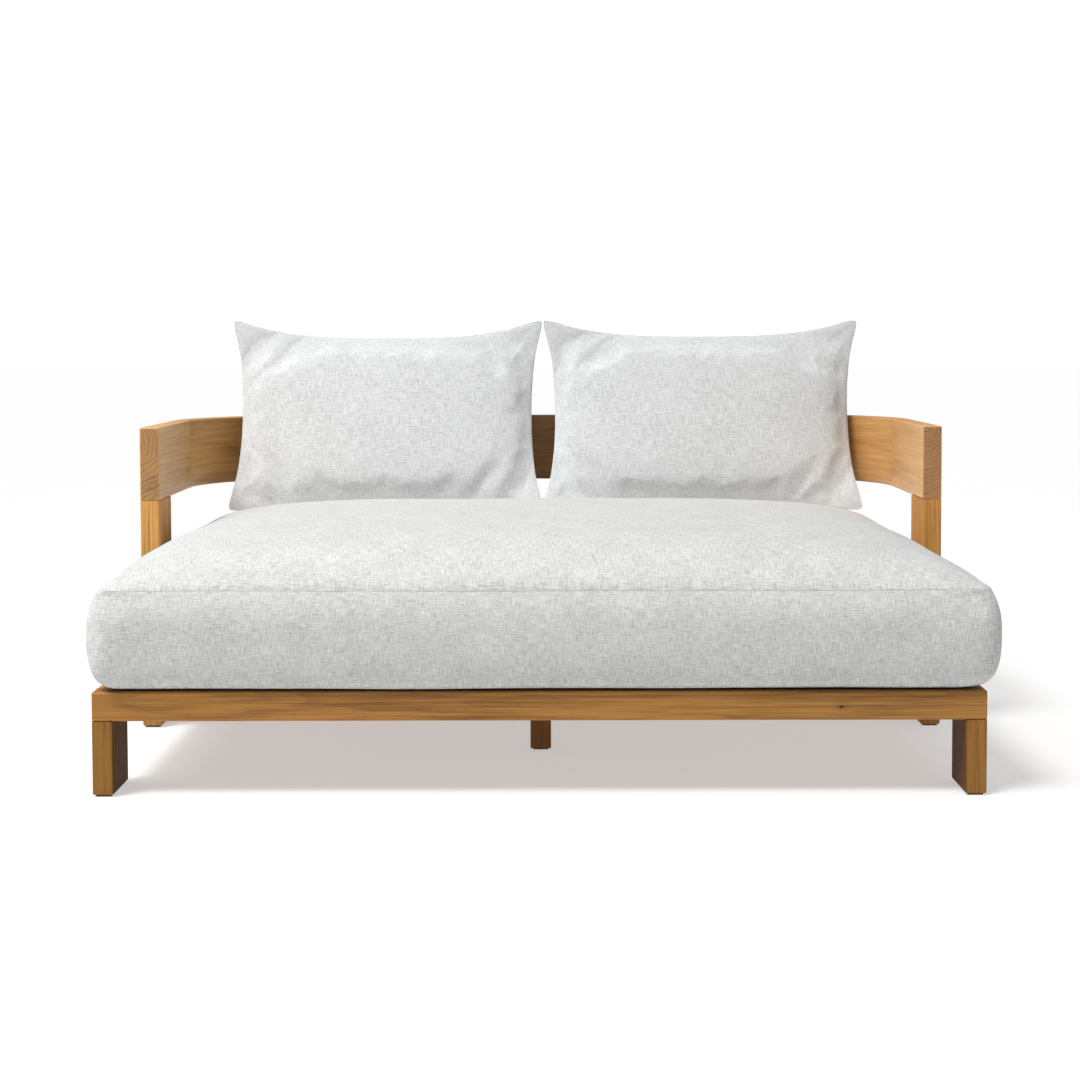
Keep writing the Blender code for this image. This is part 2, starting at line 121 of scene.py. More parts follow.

# Wood: tint (red, green, blue) of single boards and the strength of their figure. The tints were
# matched to the photo, so they hold some of its light and shade: the arms are pale because
# their faces shine when seen along their length.
# The posts' bright tints are partly painted light; the darker tints of the legs and of the left band
# corner are partly painted shade.
TONES = {
    "front_rail": (0.74, 0.645, 0.39, 1.2),
    "centre_leg_front": (0.42, 0.36, 0.28, 1.0),
    "centre_leg_rear": (0.42, 0.36, 0.28, 1.0),
    "front_leg_left": (0.52, 0.48, 0.38, 1.3),
    "front_leg_right": (0.60, 0.55, 0.44, 0.9),
    # The arms' pale tints are a painted sheen.
    "arm_left": (1.42, 1.66, 2.40, 0.45),
    "arm_right": (1.47, 1.64, 2.35, 0.35),
    "band_corner_left": (0.74, 0.70, 0.60, 0.9),
    "band_corner_right": (0.92, 0.87, 0.78, 0.75),
    "arm_post_left": (1.25, 1.26, 1.25, 0.8),
    "arm_post_right": (1.22, 1.15, 1.02, 0.8),
    "back_band": (0.55, 0.50, 0.44, 1.0),
}
# The joint tones hold less of the arms' painted sheen.
JOINT_TONES = {             # where arm and corner meet
    "left": (1.10, 1.14, 1.26, 0.8),
    "right": (1.22, 1.22, 1.40, 0.6),
}
END_SHADE = (0.41, 0.47, 0.56)   # end grain is darker by these shares, partly its own colour and partly painted shade
END_FIGURE = 0.35
LEG_SHADE = (0.70, 0.76, 0.86)   # and so are the front legs' inner faces, in place of shade
FOOT_SHADE, FOOT_SHADE_TOP = 0.42, 0.5   # posts darken below this height, also in place of shade
KNOT = (0.606, -0.0025, -0.0215)   # from the middle of the front rail: along, up and through
RING_COUNT = 115.0          # growth rings per metre
SHARP_ANGLE = math.radians(38.0)
GOLDEN_ANGLE = 2.399963

# Light
HORIZON_LIGHT, ZENITH_LIGHT = 0.05, 0.54
CAMERA_LIGHT = 1.1          # brightness of the background behind the floor
AREA_LIGHTS = (             # name, place, target, size, power
    ("sky", (-2.5, -0.9, 2.9), (0.0, 0.0, 0.3), 2.2, 55.0),
    ("bed_light", (-0.4, -1.1, 2.5), (0.0, 0.35, 0.55), 1.3, 5.0),
)
KEY_POWER = 2.3
KEY_ANGLE = math.radians(17.0)
KEY_AIM = (0.40, 0.34, -1.0)
FLOOR_GLOW = 0.475          # keeps the floor pale to the horizon and under the bed
FLOOR_REACH = 60.0


# ---------------------------------------------------------------- small helpers

def behind(distance):
    """World Y of a point that lies distance behind the front rail's face."""
    return FRONT_Y + distance


def smooth_share(value, start, end):
    """0 before start, 1 after end, with a soft passage between."""
    share = min(max((value - start) / (end - start), 0.0), 1.0)
    return share * share * (3 - 2 * share)


# ---------------------------------------------------------------- shader helpers

class Graph:
    """A node tree with short ways to add and join nodes."""

    def __init__(self, name):
        self.material = bpy.data.materials.new(name)
        self.material.use_nodes = True
        self.tree = self.material.node_tree
        self.tree.nodes.clear()
        self.shader = self.tree.nodes.new("ShaderNodeBsdfPrincipled")
        output = self.tree.nodes.new("ShaderNodeOutputMaterial")
        self.tree.links.new(self.shader.outputs[0], output.inputs["Surface"])

    def add(self, kind, inputs=(), out=0, **settings):
        """A node of that kind. inputs are (socket, value or output) pairs."""
        node = self.tree.nodes.new("ShaderNode" + kind)
        for key, value in settings.items():
            setattr(node, key, value)
        for socket, value in inputs:
            if isinstance(value, bpy.types.NodeSocket):
                self.tree.links.new(value, node.inputs[socket])
            else:
                node.inputs[socket].default_value = value
        return node.outputs[out]

    def math(self, operation, first, second=0.5, clamp=False):
        return self.add("Math", ((0, first), (1, second)), operation=operation, use_clamp=clamp)

    def scaled(self, vector, factors):
        return self.add("VectorMath", ((0, vector), (1, factors)), operation="MULTIPLY")

    def noise(self, vector, scale=1.0, detail=2.0, rough=0.5, colour=False):
        inputs = (("Vector", vector), ("Scale", scale), ("Detail", detail), ("Roughness", rough))
        return self.add("TexNoise", inputs, out=1 if colour else 0)

    def remap(self, value, low, high, to_low=0.0, to_high=1.0, smooth=False):
        kind = "SMOOTHSTEP" if smooth else "LINEAR"
        inputs = ((0, value), (1, low), (2, high), (3, to_low), (4, to_high))
        return self.add("MapRange", inputs, interpolation_type=kind)

    def mix(self, factor, first, second, blend="MIX"):
        inputs = ((0, factor), (6, first), (7, second))
        return self.add("Mix", inputs, out=2, data_type="RGBA", blend_type=blend)

    def attribute(self, name, out=1):
        return self.add("Attribute", out=out, attribute_name=name)

    def set(self, **values):
        for name, value in values.items():
            socket = self.shader.inputs[name.replace("_", " ")]
            if isinstance(value, bpy.types.NodeSocket):
                self.tree.links.new(value, socket)
            else:
                socket.default_value = value

    def bump(self, height, strength, distance):
        inputs = (("Strength", strength), ("Distance", distance), ("Height", height))
        self.set(Normal=self.add("Bump", inputs))


def rgb(red, green, blue):
    return (red, green, blue, 1.0)


# ---------------------------------------------------------------- materials

def make_teak(name, light, dark, roughness, gloss, knot=None):
    """Teak: growth rings cut by the board's faces, fibres along the board, pores and blotches.
    The attribute "grain" is each point's place in its board, its first part along the fibres.
    The attribute "tone" tints the board, with painted light and shade in some boards' tints, and its
    alpha is the strength of the figure.
    The attribute "end" is 1 on end grain, where rings show and fibres don't."""
    g = Graph(name)
    place = g.attribute("grain")
    tone, figure = g.attribute("tone", out=0), g.attribute("tone", out=3)
    drift = g.noise(g.scaled(place, (1.4, 8.0, 8.0)), 1.0, 3.0, 0.5, colour=True)
    centred = g.add("VectorMath", ((0, drift), (1, (0.5, 0.5, 0.5))), operation="SUBTRACT")
    moved = g.add("VectorMath", ((0, place), (1, g.scaled(centred, (0.0, 0.10, 0.07)))), operation="ADD")
    across = g.add("VectorMath", ((0, g.scaled(moved, (0.0, 1.0, 1.0))),), out=1, operation="LENGTH")
    uneven = g.noise(g.scaled(place, (0.9, 26.0, 26.0)), 1.0, 1.0, 0.5)
    count = g.math("ADD", g.math("MULTIPLY", across, RING_COUNT), g.math("MULTIPLY", uneven, 1.6))
    ring = g.math("FRACT", count)
    late = g.math("MULTIPLY", g.remap(ring, 0.35, 0.92, smooth=True), g.remap(ring, 0.92, 1.0, 1.0, 0.0))
    year = g.add("TexWhiteNoise", (("W", g.math("FLOOR", count)),), noise_dimensions="1D")
    late = g.math("MULTIPLY", late, g.remap(year, 0.0, 1.0, 0.25, 1.0))
    fibre = g.noise(g.scaled(place, (9.0, 560.0, 560.0)), 1.0, 2.0, 0.6)
    streak = g.noise(g.scaled(place, (3.2, 170.0, 170.0)), 1.0, 3.0, 0.62)
    blotch = g.noise(g.scaled(place, (2.4, 13.0, 13.0)), 1.0, 2.0, 0.5)
    pore = g.remap(g.noise(g.scaled(place, (26.0, 900.0, 900.0)), 1.0, 1.0, 0.5), 0.64, 0.76)
    end = g.attribute("end", out=2)
    lengthwise = g.remap(streak, 0.3, 0.7, -0.32, 0.38)
    lengthwise = g.math("ADD", g.remap(fibre, 0.3, 0.7, -0.17, 0.19), lengthwise)
    depth = g.math("MULTIPLY", late, g.remap(end, 0.0, 1.0, 0.26, 0.66))
    depth = g.math("ADD", depth, g.math("MULTIPLY", lengthwise, g.remap(end, 0.0, 1.0, 1.0, 0.22)))
    depth = g.math("ADD", depth, g.remap(blotch, 0.3, 0.7, -0.20, 0.24))
    depth = g.math("ADD", g.math("MULTIPLY", depth, figure), 0.22, clamp=True)
    colour = g.mix(depth, light, dark)
    colour = g.mix(g.math("MULTIPLY", pore, 0.40), colour, rgb(*(0.40 * c for c in dark[:3])))
    if knot:
        stretch = Vector((0.6, 1.0, 1.0))
        inputs = ((0, g.scaled(place, stretch)), (1, knot * stretch))
        reach = g.add("VectorMath", inputs, out=1, operation="DISTANCE")
        halo = g.remap(reach, 0.003, 0.016, 0.28, 0.0)
        spot = g.math("ADD", g.remap(reach, 0.0016, 0.0036, 0.9, 0.0), halo)
        colour = g.mix(spot, colour, rgb(0.055, 0.020, 0.008))
    colour = g.mix(1.0, colour, tone, blend="MULTIPLY")
    rough = g.remap(fibre, 0.3, 0.7, roughness - 0.07, roughness + 0.10)
    g.set(Base_Color=colour, Roughness=rough, Specular_IOR_Level=gloss)
    relief = g.math("SUBTRACT", g.math("MULTIPLY", fibre, 0.5), g.math("MULTIPLY", pore, 0.9))
    g.bump(g.math("SUBTRACT", relief, g.math("MULTIPLY", late, 0.30)), 0.30, 0.0005)
    return g.material


def make_fabric(name, light, dark, shade, tint=None):
    """Slubby linen-look weave. The UV map "weave" is in metres along the two threads.
    tint holds two heights and the brightness of the cloth at each of them, a painted light and shade that
    changes with height."""
    g = Graph(name)
    place = g.add("UVMap", uv_map="weave")
    warp = g.noise(g.scaled(place, (520.0, 42.0, 1.0)), 1.0, 2.0, 0.6)
    weft = g.noise(g.scaled(place, (42.0, 520.0, 1.0)), 1.0, 2.0, 0.6)
    slub_a = g.noise(g.scaled(place, (430.0, 80.0, 1.0)), 1.0, 0.0, 0.5)
    slub_b = g.noise(g.scaled(place, (80.0, 430.0, 1.0)), 1.0, 0.0, 0.5)
    cloud = g.noise(g.scaled(place, (11.0, 11.0, 1.0)), 1.0, 3.0, 0.55)
    threads = g.math("ADD", g.remap(warp, 0.30, 0.70, -0.5, 0.5), g.remap(weft, 0.30, 0.70, -0.5, 0.5))
    depth = g.math("ADD", g.math("MULTIPLY", threads, 0.66), g.remap(cloud, 0.3, 0.7, -0.08, 0.08))
    colour = g.mix(g.math("ADD", depth, 0.55, clamp=True), dark, light)
    flecks = g.math("MAXIMUM", g.remap(slub_a, 0.66, 0.82), g.remap(slub_b, 0.66, 0.82))
    colour = g.mix(g.math("MULTIPLY", flecks, 0.55), colour, shade)
    # Painted light and shade: the cloth's brightness changes with its height.
    if tint:
        height = g.add("SeparateXYZ", ((0, g.add("TexCoord", out=3)),), out=2)
        colour = g.mix(1.0, colour, g.remap(height, *tint), blend="MULTIPLY")
    g.set(Base_Color=colour, Roughness=0.94, Specular_IOR_Level=0.18)
    g.set(Sheen_Weight=0.10, Sheen_Roughness=0.5)
    wave_a = g.add("TexWave", (("Vector", place), ("Scale", 72.0)), out=1, bands_direction="X")
    wave_b = g.add("TexWave", (("Vector", place), ("Scale", 72.0)), out=1, bands_direction="Y")
    weave = g.math("ADD", g.math("MULTIPLY", wave_a, wave_b), g.math("MULTIPLY", threads, 1.1))
    g.bump(weave, 0.42, 0.0010)
    return g.material


def make_plastic():
    g = Graph("glide_black")
    place = g.add("TexCoord", out=3)
    grain = g.noise(place, 900.0, 2.0, 0.6)
    wear = g.remap(g.noise(place, 40.0, 3.0, 0.6), 0.45, 0.75)
    g.set(Base_Color=g.mix(wear, rgb(0.018, 0.018, 0.018), rgb(0.055, 0.052, 0.048)))
    g.set(Roughness=g.remap(grain, 0.3, 0.7, 0.50, 0.68))
    g.bump(grain, 0.25, 0.0002)
    return g.material


def make_steel():
    g = Graph("bolt_zinc")
    place = g.add("TexCoord", out=3)
    grain = g.noise(place, 700.0, 3.0, 0.6)
    patch = g.noise(place, 90.0, 2.0, 0.5)
    g.set(Base_Color=g.mix(patch, rgb(0.60, 0.60, 0.59), rgb(0.47, 0.46, 0.44)), Metallic=0.95)
    g.set(Roughness=g.remap(grain, 0.3, 0.7, 0.26, 0.44))
    g.bump(grain, 0.15, 0.0002)
    return g.material


# ---------------------------------------------------------------- wooden pieces

def grain_axes(node):
    """Directions along, across and through a board, from its name and its box."""
    low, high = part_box(node)
    size = high - low
    order = sorted(range(3), key=lambda axis: -size[axis])
    if node.startswith(("front_leg", "centre_leg")):
        order = [2] + [axis for axis in order if axis != 2]
    units = [Vector((1, 0, 0)), Vector((0, 1, 0)), Vector((0, 0, 1))]
    return tuple(units[axis] for axis in order)


def curved_place(point, low, high):
    """Place in a corner piece whose grain follows the bend."""
    side = math.copysign(1.0, low.x + high.x)
    from_axis = Vector((side * point.x - ARC_X, point.y - ARC_Y))
    turn = math.atan2(from_axis.y, from_axis.x)
    return Vector((ARC_RADIUS * turn, point.z - (low.z + high.z) / 2, from_axis.length - ARC_RADIUS))


def board_offset(index):
    """Where the tree's centre lies from the board, so that each board is cut differently."""
    turn = GOLDEN_ANGLE * index
    reach = 0.030 + 0.020 * ((index * 7) % 5)
    return Vector((0.37 * index, reach * math.cos(turn), 0.018 + reach * abs(math.sin(turn))))


def local_tone(node, tone, point, low, high):
    """The tones of the arms and of the corners run into each other at their joint, so the arms' painted
    sheen fades towards the corners.
    """
    if node in ("arm_left", "arm_right"):
        share = smooth_share(point.y, low.y, high.y)
    elif node.startswith("band_corner"):
        share = 1 - smooth_share(curved_place(point, low, high).x, 0.0, 1.2 * ARC_RADIUS)
    else:
        return tone
    joint = JOINT_TONES[node.rsplit("_", 1)[1]]
    return [own + (other - own) * share for own, other in zip(tone, joint)]


def finish_board(node, index, material, tone):
    """A finished copy of a CAD board: smooth rounded edges, its own grain and its tone, with painted
    light and shade in the tone.
    """
    source = frame["nodes"][node]
    mesh = bpy.data.meshes.new("wood_" + node)
    bm = bmesh.new()
    bm.from_mesh(source.data)
    bmesh.ops.remove_doubles(bm, verts=bm.verts, dist=0.00002)
    bmesh.ops.recalc_face_normals(bm, faces=bm.faces)
    bm.to_mesh(mesh)
    bm.free()
    low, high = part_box(node)
    centre = (low + high) / 2
    offset = board_offset(index)
    axes = grain_axes(node)
    bent = node.startswith(("corner_rail", "band_corner"))
    mesh.attributes.new("grain", "FLOAT_VECTOR", "POINT")
    mesh.attributes.new("tone", "FLOAT_COLOR", "POINT")
    mesh.attributes.new("end", "FLOAT", "POINT")
    places, tones, ends = (mesh.attributes[key] for key in ("grain", "tone", "end"))
    for vert in mesh.vertices:
        from_centre = vert.co - centre
        local = Vector([from_centre.dot(axis) for axis in axes])
        if bent:
            local = curved_place(vert.co, low, high)
        places.data[vert.index].vector = local + offset
        here = local_tone(node, tone, vert.co, low, high)
        end = 0.0 if bent or "leg" in node else smooth_share(abs(vert.normal.dot(axes[0])), 0.7, 1.0)
        # Painted shade: the front legs' inner faces are darkened.
        inward = max(-vert.normal.x * math.copysign(1.0, centre.x), 0.0)
        inner = inward if node.startswith("front_leg") else 0.0
        # Painted shade: the posts darken towards the floor.
        foot = smooth_share(-vert.co.z, -FOOT_SHADE_TOP, 0.0) if "post" in node else 0.0
        tint = [part * (1 - grain * end) * (1 - leg * inner) * (1 - FOOT_SHADE * foot)
                for part, grain, leg in zip(here, END_SHADE, LEG_SHADE)]
        tones.data[vert.index].color = (*tint, here[3] + END_FIGURE * end)
        ends.data[vert.index].value = end
    mesh.materials.append(material)
    mesh.shade_smooth()
    mesh.set_sharp_from_angle(angle=SHARP_ANGLE)
    board = bpy.data.objects.new("wood_" + node, mesh)
    SCENE.collection.objects.link(board)
    weighted = board.modifiers.new("even_faces", "WEIGHTED_NORMAL")
    weighted.keep_sharp = True
    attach(board, "frame")
    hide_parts(node)


def finish_boards():
    """Every wooden CAD node gets its finished copy."""
    golden, brown = rgb(0.60, 0.315, 0.098), rgb(0.235, 0.098, 0.026)
    slots = {entry["node"]: entry["material_slot"] for entry in frame["record"]["subparts"]}
    wooden = sorted(node for node, slot in slots.items() if slot.startswith("teak"))
    knot = Vector(KNOT) + board_offset(wooden.index("front_rail") + 1)
    materials = {
        "teak_platform": make_teak("teak_platform", golden, brown, 0.46, 0.36, knot=knot),
        "teak_band": make_teak("teak_band", golden, brown, 0.42, 0.46),
        "teak_legs": make_teak("teak_legs", golden, brown, 0.55, 0.10),
        "teak_slats": make_teak("teak_slats", rgb(0.50, 0.26, 0.085), rgb(0.22, 0.09, 0.026), 0.62, 0.25),
    }
    for index, node in enumerate(wooden):
        spread = 0.06 * math.sin(1.7 * index)
        tone = TONES.get(node, (0.95 + spread, 0.88 + spread, 0.72 + 1.3 * spread, 1.0))
        finish_board(node, index + 1, materials[slots[node]], tone)


def paint_hardware():
    for node, material in (("bolt", make_steel()), ("glide", make_plastic())):
        for name, obj in frame["nodes"].items():
            if node in name:
                obj.data.materials.clear()
                obj.data.materials.append(material)


# ---------------------------------------------------------------- soft pieces: shared tools

def new_object(name, vertices, faces, material):
    mesh = bpy.data.meshes.new(name)
    mesh.from_pydata(vertices, [], faces)
    mesh.materials.append(material)
    mesh.update()
    obj = bpy.data.objects.new(name, mesh)
    SCENE.collection.objects.link(obj)
    return obj


def get_points(obj):
    points = np.zeros(len(obj.data.vertices) * 3)
    obj.data.vertices.foreach_get("co", points)
    return points.reshape(-1, 3)


def set_points(obj, points):
    obj.data.vertices.foreach_set("co", points.ravel())
    obj.data.update()


def set_weave(obj, corner_places):
    """corner_places holds one (u, v) in metres for each face corner, in the faces' order."""
    layer = obj.data.uv_layers.new(name="weave")
    layer.data.foreach_set("uv", np.asarray(corner_places, float).ravel())


def swell(obj, pressure, frames, limit, seam=(), held=(), shrink=0.03):
    """Run the cloth simulation and keep its result, with no point moved beyond limit.
    seam lists the points of the sewn edge, which shrinks, and held the points that stay."""
    before = get_points(obj)
    cloth = obj.modifiers.new("cloth", "CLOTH")
    settings = cloth.settings
    settings.quality = 6
    settings.tension_stiffness = settings.compression_stiffness = 55.0
    settings.shear_stiffness = 10.0
    settings.bending_stiffness = 0.8
    settings.use_pressure = True
    settings.uniform_pressure_force = pressure
    settings.effector_weights.gravity = 0.0
    cloth.collision_settings.use_collision = False
    if seam:
        group = obj.vertex_groups.new(name="seam")
        group.add([int(index) for index in seam], 1.0, "REPLACE")
        settings.vertex_group_shrink = "seam"
        settings.shrink_min = 0.0
        settings.shrink_max = shrink
    if held:
        group = obj.vertex_groups.new(name="held")
        group.add([int(index) for index in held], 1.0, "REPLACE")
        settings.vertex_group_mass = "held"
    cloth.point_cache.frame_start = 1
    cloth.point_cache.frame_end = frames
    for number in range(1, frames + 1):
        SCENE.frame_set(number)
    evaluated = obj.evaluated_get(bpy.context.evaluated_depsgraph_get())
    after = np.array([vert.co[:] for vert in evaluated.data.vertices])
    obj.modifiers.remove(cloth)
    obj.vertex_groups.clear()
    SCENE.frame_set(1)
    moved = after - before
    length = np.linalg.norm(moved, axis=1, keepdims=True) + 1e-9
    set_points(obj, before + moved / length * limit * np.tanh(length / limit))


def soften(obj, level=1):
    obj.data.shade_smooth()
    modifier = obj.modifiers.new("smooth", "SUBSURF")
    modifier.levels = modifier.render_levels = level


def surface_points(obj):
    """Where the smoothed surface passes for each point of the unsmoothed one."""
    evaluated = obj.evaluated_get(bpy.context.evaluated_depsgraph_get())
    return np.array([vert.co[:] for vert in evaluated.data.vertices[:len(obj.data.vertices)]])


def add_welt(name, points, radius, material, body):
    """A thin sewn ridge along a closed line of points."""
    curve = bpy.data.curves.new(name, "CURVE")
    curve.dimensions = "3D"
    spline = curve.splines.new("POLY")
    spline.points.add(len(points) - 1)
    for target, point in zip(spline.points, points):
        target.co = (*point, 1.0)
    spline.use_cyclic_u = True
    curve.bevel_depth = radius
    curve.bevel_resolution = 3
    guide = bpy.data.objects.new(name, curve)
    SCENE.collection.objects.link(guide)
    mesh = bpy.data.meshes.new_from_object(guide.evaluated_get(bpy.context.evaluated_depsgraph_get()))
    bpy.data.objects.remove(guide)
    mesh.materials.clear()
    mesh.materials.append(material)
    mesh.shade_smooth()
    welt = bpy.data.objects.new(name, mesh)
    SCENE.collection.objects.link(welt)
    while mesh.uv_layers:
        mesh.uv_layers.remove(mesh.uv_layers[0])
    corners = [mesh.vertices[loop.vertex_index].co for loop in mesh.loops]
    set_weave(welt, [(corner.x, corner.z) for corner in corners])
    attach(welt, body)
    return welt


# ---------------------------------------------------------------- mattress

SEAM_FRONT_Y = behind(SEAM_FRONT)
SEAM_REAR_Y = BAND_FACE_Y - SEAM_REAR_INSET
REAR_CORNER = ARC_RADIUS - SEAM_REAR_INSET + 0.006


def seam_rows():
    """(y, half width) of each row of the mattress grid, from front to rear."""
    rows = []
    for step in range(FRONT_STEPS):
        angle = math.pi / 2 * step / FRONT_STEPS
        rows.append((SEAM_FRONT_Y + FRONT_CORNER * (1 - math.cos(angle)),
                     SEAM_HALF - FRONT_CORNER * (1 - math.sin(angle))))
    straight = MATTRESS_ROWS - FRONT_STEPS - REAR_STEPS
    start, end = SEAM_FRONT_Y + FRONT_CORNER, SEAM_REAR_Y - REAR_CORNER
    held_half = BAND_FACE_X - SEAM_POST_GAP
    for step in range(straight):
        y = start + (end - start) * step / straight
        held = smooth_share(y, POST_FRONT_Y - HOLD_REACH, POST_FRONT_Y)
        rows.append((y, SEAM_HALF + (held_half - SEAM_HALF) * held))
    for step in range(REAR_STEPS + 1):
        angle = math.pi / 2 * step / REAR_STEPS
        rows.append((end + REAR_CORNER * math.sin(angle),
                     held_half - REAR_CORNER * (1 - math.cos(angle))))
    return rows


def seam_x(y, half, share):
    """X of a point that lies a share (-1 to 1) of the way out to the seam."""
    return half * share + SEAM_SHIFT * (1 - smooth_share(y, FRONT_Y, FRONT_Y + SHIFT_REACH))


def crown_height(share, y, half):
    """Height of the top panel above its seam."""
    rise = 1.0
    for inside in (half * (1 - abs(share)), y - SEAM_FRONT_Y, SEAM_REAR_Y - y):
        rise *= 1.0 - math.exp(-max(inside, 0.0) / CROWN_REACH)
    return CROWN * rise ** CROWN_POWER


def under_inset(x, y):
    """How far inside the seam the flat underside ends."""
    at_side = smooth_share(abs(x), SEAM_HALF - 0.05, SEAM_HALF - 0.005)
    at_rear = smooth_share(y, POST_FRONT_Y - 0.25, POST_FRONT_Y + 0.05)
    inset = UNDER_FRONT + (UNDER_SIDE - UNDER_FRONT) * at_side
    return inset + (UNDER_REAR - inset) * at_rear


def wall_profile(height, bulge, inset):
    """How far the boxing stands outside the seam at a height above the underside."""
    wall = SEAM_HEIGHT - MATTRESS_BOTTOM
    if height < BULGE_HEIGHT:
        rest = 1 - height / BULGE_HEIGHT
        return bulge - (bulge + inset) * (1 - (1 - rest ** 2.8) ** (1 / 2.8))
    return bulge * (1 - ((height - BULGE_HEIGHT) / (wall - BULGE_HEIGHT)) ** 2.1)


def bulge_at(y):
    """How far the boxing stands out: less beside the posts and along the rear."""
    held = smooth_share(y, POST_FRONT_Y - HOLD_REACH, POST_FRONT_Y)
    return BULGE_OPEN + (BULGE_POST - BULGE_OPEN) * held


def build_mattress(material):
    rows = seam_rows()
    columns, last_row = MATTRESS_COLUMNS, len(rows) - 1
    top, bottom, vertices = {}, {}, []
    for j, (y, half) in enumerate(rows):
        for i in range(columns + 1):
            share = 2 * i / columns - 1
            top[i, j] = len(vertices)
            vertices.append((seam_x(y, half, share), y, SEAM_HEIGHT + crown_height(share, y, half)))
    for j, (y, half) in enumerate(rows):
        for i in range(columns + 1):
            bottom[i, j] = len(vertices)
            vertices.append((seam_x(y, half, 2 * i / columns - 1), y, MATTRESS_BOTTOM))
    loop = [(i, 0) for i in range(columns)]
    loop += [(columns, j) for j in range(last_row)]
    loop += [(i, last_row) for i in range(columns, 0, -1)]
    loop += [(0, j) for j in range(last_row, 0, -1)]
    outline = np.array([vertices[bottom[key]][:2] for key in loop])
    tangent = np.roll(outline, -1, axis=0) - np.roll(outline, 1, axis=0)
    outward = np.stack([tangent[:, 1], -tangent[:, 0]], axis=1)
    outward /= np.linalg.norm(outward, axis=1, keepdims=True)
    along = np.concatenate([[0], np.cumsum(np.linalg.norm(np.roll(outline, -1, 0) - outline, axis=1))])

    insets = [under_inset(x, y) for x, y in outline]
    middle = np.array([0.0, (SEAM_FRONT_Y + SEAM_REAR_Y) / 2])
    for index in bottom.values():
        x, y = middle + 0.95 * (np.array(vertices[index][:2]) - middle)
        vertices[index] = (x, y, MATTRESS_BOTTOM)
    lifts = [UNDER_LIFT * (1 + 0.5 * noise.noise((5 * x, 5 * y, 0.3)))
             * (1 - smooth_share(y, POST_FRONT_Y, POST_FRONT_Y + 0.15)) for x, y in outline]
    for key, place, away, inset, lift in zip(loop, outline, outward, insets, lifts):
        vertices[bottom[key]] = (*(place - away * inset), MATTRESS_BOTTOM + lift)
    rings = [[bottom[key] for key in loop]]
    for ring in range(1, WALL_RINGS):
        share = (1 - math.cos(math.pi * ring / WALL_RINGS)) / 2
        indices = []
        for place, away, inset, lift in zip(outline, outward, insets, lifts):
            height = share * (SEAM_HEIGHT - MATTRESS_BOTTOM)
            out = wall_profile(height, bulge_at(place[1]), inset)
            height += lift * (1 - share)
            indices.append(len(vertices))
            vertices.append((*(place + away * out), MATTRESS_BOTTOM + height))
        rings.append(indices)
    rings.append([top[key] for key in loop])

    faces, weave = [], []
    for j in range(last_row):
        for i in range(columns):
            quad = [(i, j), (i + 1, j), (i + 1, j + 1), (i, j + 1)]
            faces.append([top[key] for key in quad])
            weave += [vertices[top[key]][:2] for key in quad]
            quad.reverse()
            faces.append([bottom[key] for key in quad])
            weave += [vertices[bottom[key]][:2] for key in quad]
    total = len(loop)
    for low, high in zip(rings, rings[1:]):
        for i in range(total):
            j = (i + 1) % total
            faces.append([low[i], low[j], high[j], high[i]])
            heights = (vertices[low[i]][2], vertices[high[i]][2])
            weave += [(along[i], heights[0]), (along[i + 1], heights[0])]
            weave += [(along[i + 1], heights[1]), (along[i], heights[1])]
    mattress = new_object("mattress_cover", vertices, faces, material)
    set_weave(mattress, weave)

    held = list(bottom.values())
    before = get_points(mattress)
    swell(mattress, 1.1, 14, 0.007, seam=rings[-1] + rings[0], held=held, shrink=0.012)
    points = get_points(mattress)
    keep_outline(points, before)
    shape_mattress(points)
    set_points(mattress, points)
    soften(mattress)
    skin = surface_points(mattress)
    for place, ring in (("top", rings[-1]), ("bottom", rings[1])):
        name = f"mattress_{place}_welt"
        add_welt(name, skin[ring], MATTRESS_WELT, material, "mattress")
    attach(mattress, "mattress")
    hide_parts("mattress")
    return mattress


def keep_outline(points, before):
    """Stretch the swollen cover back to the plan size that it had before."""
    for axis in (0, 1):
        centre = (before[:, axis].min() + before[:, axis].max()) / 2
        for side in (-1, 1):
            half = side * (points[:, axis] - centre) > 0
            wanted = (side * (before[:, axis] - centre)).max()
            reached = (side * (points[:, axis] - centre)).max()
            points[half, axis] = centre + (points[half, axis] - centre) * wanted / reached


def shape_mattress(points):
    """Add small unevenness and the creases at the front corners, and leave room for the posts."""
    for index, (x, y, z) in enumerate(points):
        if z > MATTRESS_BOTTOM + 0.002:
            spot = Vector((x * 3.1, y * 3.1, z * 6.0))
            points[index, 2] += WAVE * noise.noise(spot)
            spot = Vector((x * 9.0 + 7.0, y * 9.0, z * 12.0))
            points[index, 1] += RIPPLE * noise.noise(spot)
    front = points[:, 1] < SEAM_FRONT_Y + 0.012
    for side in (-1, 1):
        for start_x, start_down, end_x, end_down, depth, width in CREASES:
            start = np.array([side * start_x + SEAM_SHIFT, SEAM_HEIGHT - start_down])
            line = np.array([side * end_x + SEAM_SHIFT, SEAM_HEIGHT - end_down]) - start
            share = np.clip((points[:, [0, 2]] - start) @ line / (line @ line), 0.0, 1.0)
            away = np.linalg.norm(points[:, [0, 2]] - start - share[:, None] * line, axis=1)
            dent = depth * np.exp(-(away / width) ** 2) * (1 - share ** 2)
            points[:, 1] += np.where(front, dent, 0.0)
    beside = (points[:, 1] > POST_FRONT_Y - 0.004)
    most = HALF_WIDTH - 0.0012
    points[beside, 0] = np.clip(points[beside, 0], -most, most)
    points[:, 1] = np.minimum(points[:, 1], BAND_FACE_Y - 0.0025)
    points[:, 2] = np.maximum(points[:, 2], MATTRESS_BOTTOM)


# ---------------------------------------------------------------- pillows

